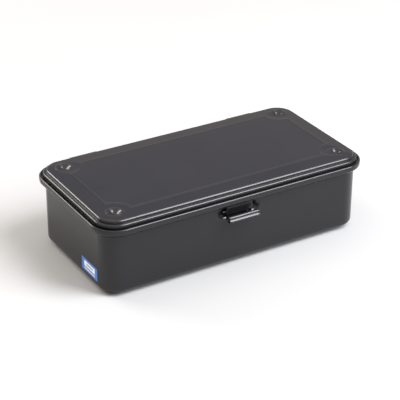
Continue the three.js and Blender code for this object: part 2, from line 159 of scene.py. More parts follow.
def bake_modifiers(obj):
    """Makes the result of an object's modifiers its mesh."""
    evaluated = obj.evaluated_get(bpy.context.evaluated_depsgraph_get())
    mesh = bpy.data.meshes.new_from_object(evaluated)
    obj.modifiers.clear()
    obj.data = mesh


def thicken(obj):
    """Gives a middle surface the sheet's thickness, half on each side."""
    solidify = obj.modifiers.new("sheet", "SOLIDIFY")
    solidify.thickness = SHEET * MM
    solidify.offset = 0
    solidify.use_even_offset = True
    solidify.use_quality_normals = True
    bake_modifiers(obj)


def soften_edges(obj, width):
    """Rounds off a bent strip's cut edges."""
    bevel = obj.modifiers.new("edge", "BEVEL")
    bevel.width = width * MM
    bevel.segments = 2
    bevel.limit_method = "ANGLE"
    bevel.angle_limit = math.radians(SOFTENED_ANGLE)
    bevel.use_clamp_overlap = True
    bake_modifiers(obj)


def combine(obj, other):
    """Joins obj with other, which is then removed."""
    boolean = obj.modifiers.new("combine", "BOOLEAN")
    boolean.operation = "UNION"
    boolean.solver = "EXACT"
    boolean.object = other
    bake_modifiers(obj)
    bpy.data.objects.remove(other)


def finish_piece(obj, body, node, slot):
    """Shades a piece and ties it to its body, its CAD node and its material slot."""
    obj.data.shade_smooth()
    obj.data.set_sharp_from_angle(angle=math.radians(SMOOTH_ANGLE))
    obj.data.materials.clear()
    obj.data.materials.append(MATERIALS[slot])
    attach(obj, body)
    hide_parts(node)
    return obj


def spaced(*stops):
    """Positions from the first stop to the last. Each stop is (position, spacing after it)."""
    positions = [stops[0][0]]
    for (start, step), (end, _) in zip(stops, stops[1:]):
        count = max(1, math.ceil((end - start) / step - 1e-6))
        positions += list(np.linspace(start, end, count + 1)[1:])
    return np.array(positions)


def mirrored(positions):
    """The positions on both sides of zero, which the first one may be."""
    positions = np.asarray(positions)
    return np.concatenate([-positions[::-1], positions[positions > 1e-9]])


def bend_line(*corners):
    """A line of (a, z) points through (a, z) or (a, z, bend radius) corners."""
    line = []
    for i, corner in enumerate(corners):
        here = np.array(corner[:2], float)
        if len(corner) == 2:
            line.append(here)
            continue
        back = np.array(corners[i - 1][:2]) - here
        ahead = np.array(corners[i + 1][:2]) - here
        back /= np.linalg.norm(back)
        ahead /= np.linalg.norm(ahead)
        half = math.acos(np.clip(back @ ahead, -1, 1)) / 2
        radius = corner[2]
        middle = back + ahead
        centre = here + middle / np.linalg.norm(middle) * radius / math.sin(half)
        start = here + back * radius / math.tan(half) - centre
        end = here + ahead * radius / math.tan(half) - centre
        turn = math.atan2(start[0] * end[1] - start[1] * end[0], start @ end)
        angle = math.atan2(start[1], start[0])
        for k in np.linspace(0, 1, max(2, math.ceil(abs(turn) / LINE_STEP)) + 1):
            line.append(centre + radius * np.array(
                [math.cos(angle + k * turn), math.sin(angle + k * turn)]))
    return np.array(line)


def subdivide_line(line, longest):
    """Adds points where a line's steps are longer than the given length."""
    points = [line[0]]
    for a, b in zip(line, line[1:]):
        count = max(1, math.ceil(np.linalg.norm(b - a) / longest - 1e-6))
        points += [a + (b - a) * k / count for k in range(1, count + 1)]
    return np.array(points)


def arc(centre, radius, start, end, step=LINE_STEP):
    """Points of an arc, its angles in degrees."""
    count = max(2, math.ceil(abs(math.radians(end - start)) / step))
    angles = np.radians(np.linspace(start, end, count + 1))
    return np.array(centre) + radius * np.column_stack([np.cos(angles), np.sin(angles)])


def cell_faces(index, keep=None, wrap=False):
    """Quads between the rows and columns of a 2-D array of vertex numbers."""
    if wrap:
        index = np.hstack([index, index[:, :1]])
    corners = [index[:-1, :-1], index[:-1, 1:], index[1:, 1:], index[1:, :-1]]
    faces = np.stack([c.ravel() for c in corners], axis=1)
    return faces if keep is None else faces[keep(faces)]


def open_where(vertices, is_open):
    """A test for cell_faces that leaves out the cells whose middle is in an opening."""
    vertices = np.asarray(vertices)
    return lambda faces: ~is_open(*vertices[faces].mean(axis=1).T)


# ---- Drawn shells -------------------------------------------------------------------
def plan_grid(xs, ys):
    """The plan's points for a grid of lines. In the four corners the square grid is drawn
    onto a quarter disc, so that its last line follows the round corner."""
    u, v = np.meshgrid(xs, ys, indexing="ij")
    a = np.maximum(np.abs(u) - CORNER[0], 0)
    b = np.maximum(np.abs(v) - CORNER[1], 0)
    large, small = np.maximum(a, b), np.minimum(a, b)
    share = np.divide(small, large, out=np.zeros_like(small), where=large > 0)
    angle = np.where(a >= b, share, 2 - share) * math.pi / 4
    in_corner = (a > 0) & (b > 0)
    x = np.where(in_corner, np.sign(u) * (CORNER[0] + large * np.cos(angle)), u)
    y = np.where(in_corner, np.sign(v) * (CORNER[1] + large * np.sin(angle)), v)
    return x, y


def perimeter(index):
    """The vertex numbers round the edge of a grid, anticlockwise from its low corner."""
    return np.concatenate([index[:-1, 0], index[-1, :-1], index[:0:-1, -1], index[0, :0:-1]])


def shell_surface(xs, ys, section, panel_height, shape=None, is_open=None):
    """The middle surface of a drawn shell: a flat or pressed panel, and the section of its
    sides swept round the plan. The section's first point is on the panel's edge."""
    x, y = plan_grid(xs, ys)
    panel = np.column_stack([x.ravel(), y.ravel(), panel_height(x, y).ravel()])
    index = np.arange(x.size).reshape(x.shape)
    edge = perimeter(index)
    base = np.clip(panel[edge, :2], -CORNER, CORNER)
    outward = panel[edge, :2] - base
    outward /= np.linalg.norm(outward, axis=1)[:, None]
    rings = [np.column_stack([base + outward * (reach - CORNER[1]), np.full(len(edge), z)])
             for reach, z in section[1:]]
    vertices = np.vstack([panel, *rings])
    if shape is not None:
        vertices = shape(vertices)
    rows = [edge]
    for k in range(len(rings)):
        rows.append(x.size + k * len(edge) + np.arange(len(edge)))
    keep = None if is_open is None else open_where(vertices, is_open)
    faces = np.vstack([cell_faces(index, keep), cell_faces(np.array(rows), keep, wrap=True)])
    return vertices, faces[:, ::-1]


def bump(distance, width):
    """A smooth rise of height 1 and full width 2 * width."""
    t = np.clip(np.abs(distance) / width, 0, 1)
    return (1 - t * t) ** 2


def smooth_step(t):
    """A smooth rise from 0 to 1 as t goes from 0 to 1."""
    t = np.clip(t, 0, 1)
    return t * t * (3 - 2 * t)


# ---- Lid ----------------------------------------------------------------------------
BEAD_X = CORNER[0] + 0.7
BEAD_Y = CORNER[1] + 0.6
BEAD_ARC_R = 11.5
BEAD_HALF_WIDTH = 0.75
BEAD_HEIGHT = 0.2
DISH_CENTRE = CORNER + 0.35
DISH_R = 4.1
DISH_DEPTH = 1.7
DISH_SHAPE = 1.5  # a higher value gives the dish a flatter floor and a steeper wall
DISH_RING_R = 5.0
DISH_RING_HEIGHT = 0.5
DISH_RING_HALF_WIDTH = 1.0
LID_PANEL_REACH = 45.2
LID_FINE_ZONE = 12  # the panel's grid is fine from this far inside a corner centre
EDGE_BEND = 1.15
EDGE_SLOPE_DROP = 0.1  # further fall from the panel's last point to the skirt
STEP_INNER_BEND, STEP_OUTER_BEND = 0.38, 0.7
NOTCH_TOP = STEP_Z - 0.8


def bead_distance(x, y):
    """Signed distance to the bead's line, positive outside it. The line is a rectangle
    whose corners are arcs round the dishes, curving inwards."""
    across = np.maximum(np.abs(x) - BEAD_X, np.abs(y) - BEAD_Y)
    to_dish = np.hypot(np.abs(x) - DISH_CENTRE[0], np.abs(y) - DISH_CENTRE[1])
    return np.maximum(across, BEAD_ARC_R - to_dish)


def dish_relief(x, y):
    """A round dish with a raised ring, at each corner centre."""
    r = np.hypot(np.abs(x) - DISH_CENTRE[0], np.abs(y) - DISH_CENTRE[1])
    share = np.clip(r / DISH_R, 0, 1) ** DISH_SHAPE
    bowl = -DISH_DEPTH * np.cos(share * math.pi / 2) ** DISH_SHAPE
    return bowl + DISH_RING_HEIGHT * bump(r - DISH_RING_R, DISH_RING_HALF_WIDTH)


def lid_height(x, y):
    """Height of the lid panel's middle surface."""
    distance = bead_distance(x, y)
    margin = np.minimum(1, np.maximum(0, distance) / (LID_PANEL_REACH - BEAD_Y))
    bead = BEAD_HEIGHT * bump(distance, BEAD_HALF_WIDTH)
    return TOP - HALF - BEAD_HEIGHT - EDGE_DROP * margin + bead + dish_relief(x, y)


def near_hinge(x, half_width):
    """Whether x is within half_width of either hinge."""
    return np.minimum(*[np.abs(x - centre) for centre in HINGE_XS]) < half_width


def lid_notches(x, y, z):
    """Openings in the lid's lower bead for the two hinge leaves."""
    near = near_hinge(x, half_width_of("hinge_left_lid_leaf") + GAP)
    return near & (y > SKIRT_REACH) & (z < NOTCH_TOP)


def build_lid():
    """The drawn lid, with its bead, its dishes, its two-step skirt and its hem."""
    panel_edge = LID_PANEL_REACH - CORNER[1]
    leaf = half_width_of("hinge_left_lid_leaf") + GAP
    hinge = abs(HINGE_XS[0])
    fine_x, fine_y = CORNER - LID_FINE_ZONE
    xs = mirrored(spaced((0, 4), (hinge - leaf, 3), (hinge + leaf, 1.2), (fine_x, 0.4),
                         (CORNER[0], 0.45), (CORNER[0] + panel_edge, 1)))
    ys = mirrored(spaced((0, 3), (fine_y, 0.4), (CORNER[1], 0.45), (CORNER[1] + panel_edge, 1)))
    edge_z = TOP - HALF - BEAD_HEIGHT - EDGE_DROP
    skirt, bead, hem = SKIRT_REACH - HALF, BEAD_REACH - HALF, BEAD_REACH - HALF - HEM_FOLD
    section = bend_line(
        (LID_PANEL_REACH, edge_z),
        (skirt, edge_z - EDGE_SLOPE_DROP, EDGE_BEND),
        (skirt, STEP_Z - HALF, STEP_INNER_BEND),
        (bead, STEP_Z - HALF, STEP_OUTER_BEND),
        (bead, HEM_Z + HALF, HEM_BEND),
        (hem, HEM_Z + HALF, HEM_BEND),
        (hem, HEM_Z + HEM_HEIGHT))
    vertices, faces = shell_surface(xs, ys, section, lid_height, is_open=lid_notches)
    lid = new_object("lid", vertices, faces)
    thicken(lid)
    return finish_piece(lid, "lid", "lid_shell", "black_paint")


# ---- Tray ---------------------------------------------------------------------------
FOOT_FLAT_R, FOOT_TOP_R = 3.0, 4.8
SLOT_LOW, SLOT_HIGH = -4.8, -1.6  # heights from the latch's axis
POCKET_X = 9.9
POCKET_LENGTH, POCKET_HALF_HEIGHT, POCKET_DEPTH = 6.6, 4.9, 4.3
POCKET_ROWS = 5.6  # the wall's rows are fine this far above and below the latch's axis
POCKET_COLUMNS = 8  # and its columns are fine this far beyond a pocket's mouth
ROW_CLEARANCE = 0.3  # no row is closer than this to the bend under the wall
MOUTH_HALF_HEIGHT = POCKET_HALF_HEIGHT - 0.2
SLIT = 0.06  # width of the shear that opens a pocket's mouth
RIM_NOTCH_PLAY = 0.05
LEDGE_BEND, GROOVE_BEND, CURL_BEND = 0.6, 0.5, 1.2
TRAY_FINE_ZONE = 5.4  # the base's grid is fine from this far inside a corner centre


def base_height(x, y):
    """Height of the tray floor's middle surface, with a foot pressed out at each corner."""
    r = np.hypot(np.abs(x) - CORNER[0], np.abs(y) - CORNER[1])
    foot = 1 - smooth_step((r - FOOT_FLAT_R) / (FOOT_TOP_R - FOOT_FLAT_R))
    return BASE_Z + HALF - BASE_Z * foot


def press_pockets(vertices):
    """Presses into the front wall the two half-domes that hold the latch pin."""
    x, y, z = vertices.T
    along = (np.abs(x) - POCKET_X - SLIT / 2) / POCKET_LENGTH
    up = (z - LATCH_AXIS[1]) / POCKET_HALF_HEIGHT
    r = np.hypot(along, up)
    on_front = (y < -WALL_LINE + 0.01) & (np.abs(x) > POCKET_X) & (r < 1)
    depth = POCKET_DEPTH * np.cos(np.minimum(r, 1) * math.pi / 2) ** 2
    vertices[:, 1] += np.where(on_front, depth, 0)
    return vertices


def tray_openings(x, y, z):
    """The latch slot, the pockets' sheared mouths and the notches in the rim."""
    up = z - LATCH_AXIS[1]
    front = y < -WALL_LINE + 2 * POCKET_DEPTH
    slot = (np.abs(x) < POCKET_X + SLIT) & (up > SLOT_LOW) & (up < SLOT_HIGH)
    mouth = (np.abs(np.abs(x) - POCKET_X) < SLIT) & (np.abs(up) < MOUTH_HALF_HEIGHT)
    near = near_hinge(x, half_width_of("hinge_left_body_leaf") + GAP)
    return (front & (slot | mouth)) | (near & (y > WALL_REACH + RIM_NOTCH_PLAY))


def tray_section():
    """The section of the tray's sides, with rows on the wall for the slot and the pockets."""
    rim, groove = RIM_REACH - HALF, GROOVE_REACH + HALF
    section = bend_line(
        (BASE_FLAT_REACH, BASE_Z + HALF),
        (WALL_LINE, BASE_Z + HALF, BASE_BEND),
        (WALL_LINE, LEDGE_Z - HALF, LEDGE_BEND),
        (groove, LEDGE_Z - HALF, GROOVE_BEND),
        (groove, RIM_TOP - HALF, HEM_BEND),
        (rim, RIM_TOP - HALF, HEM_BEND),
        (rim, RIM_CURL_Z, CURL_BEND),
        RIM_CURL_END)
    latch_z = LATCH_AXIS[1]
    rows = spaced((section[1:, 1].min(), 9), (latch_z - POCKET_ROWS, 0.4),
                  (latch_z + SLOT_LOW, 0.42), (latch_z + SLOT_HIGH, 0.4),
                  (latch_z + POCKET_ROWS, 1.5), (LEDGE_Z - 1.2, 1))
    foot = np.argmax(np.isclose(section[:, 0], WALL_LINE, atol=1e-6))
    wall = [(WALL_LINE, z) for z in rows if z > section[foot, 1] + ROW_CLEARANCE]
    return np.vstack([section[:foot + 1], wall, section[foot + 1:]])


def build_tray():
    """The drawn tray, with its feet, pockets, slot and rolled rim."""
    leaf = half_width_of("hinge_left_body_leaf") + GAP
    hinge = abs(HINGE_XS[0])
    panel_edge = BASE_FLAT_REACH - CORNER[1]
    fine_x, fine_y = CORNER - TRAY_FINE_ZONE
    xs = mirrored(spaced((0, 3.3), (POCKET_X - SLIT / 2, SLIT), (POCKET_X + SLIT / 2, 0.4),
                         (POCKET_X + POCKET_COLUMNS, 4), (hinge - leaf, 4), (hinge + leaf, 4),
                         (fine_x, 0.6), (CORNER[0], 0.6), (CORNER[0] + panel_edge, 1)))
    ys = mirrored(spaced((0, 4), (fine_y, 0.6), (CORNER[1], 0.6), (CORNER[1] + panel_edge, 1)))
    vertices, faces = shell_surface(
        xs, ys, tray_section(), base_height, press_pockets, tray_openings)
    tray = new_object("tray", vertices, faces)
    thicken(tray)
    return finish_piece(tray, "tray", "body_tray", "black_paint")


# ---- Bent strips --------------------------------------------------------------------
END_STEPS = 6  # points in a strip's rounded corner


def strip_surface(line, xs, is_open=None, squeeze=None):
    """A strip's middle surface: a (y, z) line repeated at each x. squeeze gives, for every
    point of the line, a share by which the strip's width is narrowed there."""
    x = np.tile(np.asarray(xs, float), (len(line), 1))
    if squeeze is not None:
        middle = (min(xs) + max(xs)) / 2
        x = middle + (x - middle) * np.asarray(squeeze)[:, None]
    y = np.tile(line[:, :1], (1, len(xs)))
    z = np.tile(line[:, 1:], (1, len(xs)))
    vertices = np.column_stack([x.ravel(), y.ravel(), z.ravel()])
    index = np.arange(x.size).reshape(x.shape)
    keep = None if is_open is None else open_where(vertices, is_open)
    return vertices, cell_faces(index, keep)


def rounded_end(line, half_width, radius, at_start=True):
    """Width shares that round the two corners at one end of a strip."""
    steps = np.linalg.norm(np.diff(line, axis=0), axis=1)
    along = np.concatenate([[0], np.cumsum(steps)])
    if not at_start:
        along = along[-1] - along
    inside = np.clip(radius - along, 0, radius)
    return (half_width - radius + np.sqrt(radius ** 2 - inside ** 2)) / half_width


def end_steps(line, radius, at_start=True):
    """Adds the points at one end of a line that its rounded corners need."""
    line = line if at_start else line[::-1]
    direction = (line[1] - line[0]) / np.linalg.norm(line[1] - line[0])
    shares = 1 - np.cos(np.linspace(0, math.pi / 2, END_STEPS + 1))
    extra = line[0] + np.outer(shares * radius, direction)
    line = np.vstack([extra, line[1:]])
    return line if at_start else line[::-1]


# ---- Latch lever and keeper ---------------------------------------------------------
NECK_HALF_WIDTH, HOOK_HALF_WIDTH = 9.6, 6.6
WINDOW_HALF_WIDTH, WINDOW_HALF_HEIGHT = 3.2, 2.3  # the spring's coil is in this window
WINDOW_RISE = 0.3  # from the latch's axis to the window's middle
NECK_DROP = 3.75  # the lever's neck lies this far under the latch's axis
ARM_SETBACK = 1.15  # its arm stands this far behind the axis
HOOK_SHOULDER_RISE = 3
HOOK_BEND, NECK_BEND = 0.6, 0.8
LEVER_KNUCKLE_R = 1.2
LEVER_KNUCKLE_TURN = (20, -300)  # degrees, as are the other turns
TAB_FOLD_R, TAB_CURL_R = 0.6, 0.95
TAB_FOLD_TURN, TAB_CURL_TURN = (-90, -235), (205, -60)
TAB_CURL_OFFSET = (1.45, 1.75)  # (y, z) from the fold's centre to the curl's
LATCH_EDGE_WIDTH = 0.12


def lever_line(high, arm_y, neck_z, fold, curl):
    """The lever's middle line: from the hook down the arm, out through the slot along the
    neck, up round the fold and back round the curl."""
    hook_z = high[2] - HALF
    line = bend_line((high[1], hook_z), (arm_y, hook_z, HOOK_BEND),
                     (arm_y, neck_z, NECK_BEND), (fold[0], neck_z))
    return np.vstack([subdivide_line(line, 1)[:-1],
                      arc(fold, TAB_FOLD_R, *TAB_FOLD_TURN, FINE_LINE_STEP),
                      arc(curl, TAB_CURL_R, *TAB_CURL_TURN, FINE_LINE_STEP)])


def build_lever():
    """The latch's one bent strip, with two knuckles on the pin beside its window."""
    low, high = local_box("latch_lever")
    arm_y, neck_z = LATCH_AXIS[0] + ARM_SETBACK, LATCH_AXIS[1] - NECK_DROP
    fold = np.array([low[1] + HALF + TAB_FOLD_R, neck_z + TAB_FOLD_R])
    curl = fold + TAB_CURL_OFFSET
    line = lever_line(high, arm_y, neck_z, fold, curl)
    xs = mirrored([0, WINDOW_HALF_WIDTH, HOOK_HALF_WIDTH, NECK_HALF_WIDTH, high[0]])

    def is_open(x, y, z):
        up = z - LATCH_AXIS[1]
        behind_tab = y > curl[0] + TAB_CURL_R + HALF
        on_arm = y > arm_y - HALF
        beside_neck = (np.abs(x) > NECK_HALF_WIDTH) & behind_tab
        beside_hook = (np.abs(x) > HOOK_HALF_WIDTH) & (up > HOOK_SHOULDER_RISE)
        window = (np.abs(x) < WINDOW_HALF_WIDTH) & (np.abs(up - WINDOW_RISE) < WINDOW_HALF_HEIGHT)
        return beside_neck | beside_hook | (window & on_arm)

    lever = new_object("lever", *strip_surface(line, xs, is_open))
    thicken(lever)
    soften_edges(lever, LATCH_EDGE_WIDTH)
    knuckle = arc(LATCH_AXIS, LEVER_KNUCKLE_R, *LEVER_KNUCKLE_TURN)
    for side in (-1, 1):
        ends = sorted((side * WINDOW_HALF_WIDTH, side * NECK_HALF_WIDTH))
        barrel = new_object("barrel", *strip_surface(knuckle, ends))
        thicken(barrel)
        combine(lever, barrel)
    return finish_piece(lever, "latch", "latch_lever", "black_paint")


KEEPER_WEB_INSET = 1.55  # from the lip's end to the upright web
KEEPER_PAD_BEND, KEEPER_LIP_BEND = 0.7, 0.5
KEEPER_CORNER_R = 2.0


def build_keeper():
    """The bent strip under the lid that the latch's hook catches."""
    low, high = local_box("lid_keeper")
    half_width = high[0]
    pad_z, lip_z, web_y = high[2] - HALF, low[2] + HALF, low[1] + KEEPER_WEB_INSET
    line = bend_line((high[1], pad_z), (web_y, pad_z, KEEPER_PAD_BEND),
                     (web_y, lip_z, KEEPER_LIP_BEND), (low[1], lip_z))
    line = end_steps(line, KEEPER_CORNER_R)
    xs = spaced((-half_width, 2), (half_width, 2))
    squeeze = rounded_end(line, half_width, KEEPER_CORNER_R)
    keeper = new_object("keeper", *strip_surface(line, xs, squeeze=squeeze))
    thicken(keeper)
    soften_edges(keeper, LATCH_EDGE_WIDTH)
    return finish_piece(keeper, "lid", "lid_keeper", "black_paint")


# ---- Hinges -------------------------------------------------------------------------
KNUCKLE_SPLIT = 3.85  # the joint between the middle knuckle and the outer two
ROLL_R = HINGE_KNUCKLE_R - HALF
ROLL_TURN = 295  # degrees, how far a knuckle is rolled round its pin
BODY_LEAF_BEND_DROP = 4.8
BODY_LEAF_BEND, LID_LEAF_BEND = 1.2, 0.6
BODY_LEAF_CORNER_R, LID_LEAF_CORNER_R = 3.0, 2.5
LID_LEAF_TONGUE_LENGTH = 9
BODY_LEAF_FORK = 0.8  # the leaf is forked from this far outside its flat part
LID_LEAF_NECK = 2.1  # the tongue is narrowed from this far inside the hinge's axis
LEAF_EDGE_WIDTH = 0.1


def body_leaf_line(low_z, leaf_y):
    """Up the wall, out at a bend along the tangent of the knuckle, and round the knuckle."""
    bend = np.array([leaf_y, HINGE_AXIS[1] - BODY_LEAF_BEND_DROP])
    towards = np.array(HINGE_AXIS) - bend
    length = np.linalg.norm(towards)
    angle = math.atan2(towards[1], towards[0]) - math.asin(ROLL_R / length)
    direction = np.array([math.cos(angle), math.sin(angle)])
    tangent = bend + math.sqrt(length ** 2 - ROLL_R ** 2) * direction
    start = math.degrees(angle) - 90
    flat = bend_line((leaf_y, low_z), (*bend, BODY_LEAF_BEND), tangent)
    roll = arc(HINGE_AXIS, ROLL_R, start, start + ROLL_TURN)
    return np.vstack([end_steps(flat, BODY_LEAF_CORNER_R), roll[1:]])


def lid_leaf_line(low_y, high_z):
    """Round the knuckle, in along the tongue, up the web and in along the pad."""
    tongue_z = HINGE_AXIS[1] + ROLL_R
    web_y, pad_z = HINGE_AXIS[0] - LID_LEAF_TONGUE_LENGTH, high_z - HALF
    roll = arc(HINGE_AXIS, ROLL_R, 90 - ROLL_TURN, 90)
    flat = bend_line((HINGE_AXIS[0], tongue_z), (web_y, tongue_z, LID_LEAF_BEND),
                     (web_y, pad_z, LID_LEAF_BEND), (low_y, pad_z))
    flat = end_steps(subdivide_line(flat, 1.2), LID_LEAF_CORNER_R, at_start=False)
    return np.vstack([roll[:-1], flat])


def finish_leaf(name, surface, x, body, node):
    """Thickens a hinge leaf's surface, made round x = 0, at its place along the box."""
    vertices, faces = surface
    leaf = new_object(name, vertices + (x, 0, 0), faces)
    thicken(leaf)
    soften_edges(leaf, LEAF_EDGE_WIDTH)
    return finish_piece(leaf, body, node, "black_paint")


def build_body_leaf(side, x):
    """The leaf riveted to the rear wall, which ends in the two outer knuckles."""
    node = f"hinge_{side}_body_leaf"
    low, high = local_box(node)
    half_width = half_width_of(node)
    leaf_y = low[1] + HALF
    line = body_leaf_line(low[2], leaf_y)
    xs = mirrored([0, KNUCKLE_SPLIT, half_width])

    def is_open(x, y, z):
        return (np.abs(x) < KNUCKLE_SPLIT) & (y > leaf_y + BODY_LEAF_FORK)

    squeeze = rounded_end(line, half_width, BODY_LEAF_CORNER_R)
    surface = strip_surface(line, xs, is_open, squeeze)
    return finish_leaf(f"hinge_{side}_outer", surface, x, "tray", node)


def build_lid_leaf(side, x):
    """The leaf fixed under the lid, which starts as the middle knuckle."""
    node = f"hinge_{side}_lid_leaf"
    low, high = local_box(node)
    half_width = half_width_of(node)
    line = lid_leaf_line(low[1], high[2])
    knuckle_half = KNUCKLE_SPLIT - GAP / 2
    xs = mirrored([0, knuckle_half, half_width])

    def is_open(x, y, z):
        return (np.abs(x) > knuckle_half) & (y > HINGE_AXIS[0] - LID_LEAF_NECK)

    squeeze = rounded_end(line, half_width, LID_LEAF_CORNER_R, at_start=False)
    surface = strip_surface(line, xs, is_open, squeeze)
    return finish_leaf(f"hinge_{side}_inner", surface, x, "lid", node)


# ---- Turned pieces ------------------------------------------------------------------
TURNED_SIDES = 40


def turned_surface(profile, axis, at):
    """A turned solid from (radius, position) points that start and end on the axis, which
    runs along x or y through the point at."""
    profile = np.asarray(profile, float)
    sides = TURNED_SIDES
    angles = np.linspace(0, 2 * math.pi, sides, endpoint=False)
    ring = profile[1:-1]
    radial = np.stack([np.outer(ring[:, 0], np.cos(angles)), np.outer(ring[:, 0], np.sin(angles))])
    along = np.repeat(ring[:, 1:], sides, axis=1)
    order = {"x": (along, *radial), "y": (radial[0], along, radial[1])}[axis]
    vertices = np.column_stack([part.ravel() for part in order])
    ends = np.zeros((2, 3))
    ends[:, "xy".index(axis)] = profile[[0, -1], 1]
    index = np.arange(len(vertices)).reshape(len(ring), sides)
    faces = [tuple(face) for face in cell_faces(index, wrap=True)]
    first, last = len(vertices), len(vertices) + 1
    for k in range(sides):
        following = (k + 1) % sides
        faces.append((first, index[0, following], index[0, k]))
        faces.append((last, index[-1, k], index[-1, following]))
    if axis == "x":
        faces = [face[::-1] for face in faces]
    return np.vstack([vertices, ends]) + at, faces


def pin_profile(radius, half_length, chamfer):
    """A plain pin's outline, with both its ends rounded off."""
    end = arc((radius - chamfer, half_length - chamfer), chamfer, 90, 0)
    return [(0, half_length), *end, *[(r, -z) for r, z in end[::-1]], (0, -half_length)]


def build_pin(name, node):
    """A pin along x that fills its node's box."""
    low, high = local_box(node)
    radius = (high[2] - low[2]) / 2
    profile = pin_profile(radius, half_width_of(node), radius / 3)[::-1]
    pin = new_object(name, *turned_surface(profile, "x", (low + high) / 2))
    return finish_piece(pin, "tray", node, "zinc_steel")


RIVET_HEAD_R, RIVET_HEAD_EDGE = 1.9, 0.22  # the edge is the head's straight side
RIVET_DOME_R, RIVET_DOME_SINK = math.hypot(RIVET_HEAD_R, 1.75), 1.5
RIVET_DOME_TURN = (90, 43)
RIVET_SHANK_R = 1.0
RIVET_TAIL = ((0, 0.75), (0.9, 0.7), (1.45, 0.45), (1.7, 0.2), (1.7, 0))  # (radius, height)


def build_rivet(side, number):
    """A flat-domed rivet through the leaf and the wall, with its tail set inside."""
    node = f"hinge_{side}_rivet_{number}"
    low, high = local_box(node)
    outside, inside = WALL_REACH + GAP + SHEET, WALL_REACH - SHEET
    tail = [(r, inside - height) for r, height in RIVET_TAIL]
    dome = arc((0, outside - RIVET_DOME_SINK), RIVET_DOME_R, *RIVET_DOME_TURN)
    head = [(r, y) for r, y in dome if r < RIVET_HEAD_R]
    profile = [*tail, (RIVET_SHANK_R, inside), (RIVET_SHANK_R, outside), (RIVET_HEAD_R, outside),
               (RIVET_HEAD_R, outside + RIVET_HEAD_EDGE), *head[::-1]]
    place = (middle_x_of(node), 0, (low[2] + high[2]) / 2)
    rivet = new_object(f"rivet_{side}_{number}", *turned_surface(profile, "y", place))
    return finish_piece(rivet, "tray", node, "zinc_steel")


SPRING_WIRE_R, SPRING_COIL_R, SPRING_HALF_LENGTH = 0.25, 1.28, 2.4
SPRING_TURNS, SPRING_STEPS_PER_TURN = 3.59, 28
SPRING_WALL_LEG, SPRING_ARM_LEG = 4.4, 3.2
SPRING_LEG_START = 0.3  # the wall leg has left the coil at this height above it


def spring_route():
    """The wire's middle line: a leg up the wall, the coil round the pin, a leg to the arm."""
    turn = 2 * math.pi * SPRING_TURNS
    angles = np.linspace(0, turn, round(SPRING_TURNS * SPRING_STEPS_PER_TURN))
    coil = np.column_stack([
        np.linspace(-SPRING_HALF_LENGTH, SPRING_HALF_LENGTH, len(angles)),
        LATCH_AXIS[0] - SPRING_COIL_R * np.cos(angles),
        LATCH_AXIS[1] - SPRING_COIL_R * np.sin(angles)])
    leaving = np.array([0, math.sin(turn), -math.cos(turn)])
    return np.vstack([coil[0] + (0, 0, SPRING_WALL_LEG), coil[0] + (0, 0, SPRING_LEG_START),
                      coil, coil[-1] + leaving * SPRING_ARM_LEG])


def build_spring():
    """The torsion spring on the latch pin: round wire swept along its route."""
    route = spring_route()
    curve = bpy.data.curves.new("spring", "CURVE")
    curve.dimensions = "3D"
    curve.bevel_depth = SPRING_WIRE_R * MM
    curve.bevel_resolution = 4
    curve.use_fill_caps = True
    spline = curve.splines.new("POLY")
    spline.points.add(len(route) - 1)
    for point, place in zip(spline.points, route * MM + (0, MIDDLE_Y, 0)):
        point.co = (*place, 1)
    source = link("spring_route", curve)
    bpy.context.view_layer.update()
    evaluated = source.evaluated_get(bpy.context.evaluated_depsgraph_get())
    spring = link("spring", bpy.data.meshes.new_from_object(evaluated))
    bpy.data.objects.remove(source)
    return finish_piece(spring, "tray", "latch_spring", "zinc_steel")


# ---- Label --------------------------------------------------------------------------
LABEL_CORNER_R = 0.8
LABEL_THICKNESS = 0.15


def build_label():
    """A thin printed film with round corners, stuck flat on the end wall."""
    low, high = local_box("side_label")
    half = np.array([high[1] - low[1], high[2] - low[2]]) / 2
    centre = np.array([low[1] + high[1], low[2] + high[2]]) / 2
    outline = []
    for quarter, (sy, sz) in enumerate([(1, 1), (-1, 1), (-1, -1), (1, -1)]):
        middle = (half - LABEL_CORNER_R) * (sy, sz)
        outline += list(arc(middle, LABEL_CORNER_R, 90 * quarter, 90 * quarter + 90))
    outline = np.array(outline) + centre
    wall_x = -(WALL_REACH + SIDE_EXTRA)
    count = len(outline)
    inner = np.column_stack([np.full(count, wall_x), outline])
    outer = inner - (LABEL_THICKNESS, 0, 0)
    faces = [tuple(range(count)), tuple(range(2 * count - 1, count - 1, -1))]
    for k in range(count):
        following = (k + 1) % count
        faces.append((k, k + count, following + count, following))
    label = new_object("label", np.vstack([inner, outer]), faces)
    return finish_piece(label, "tray", "side_label", "printed_label")


# ---- Materials ----------------------------------------------------------------------
def fill_ramp(ramp, stops):
    """Gives a colour ramp its stops of (position, colour)."""
    elements = ramp.elements
    while len(elements) < len(stops):
        elements.new(0.5)
    for element, (position, color) in zip(elements, stops):
        element.position = position
        element.color = (*color, 1)


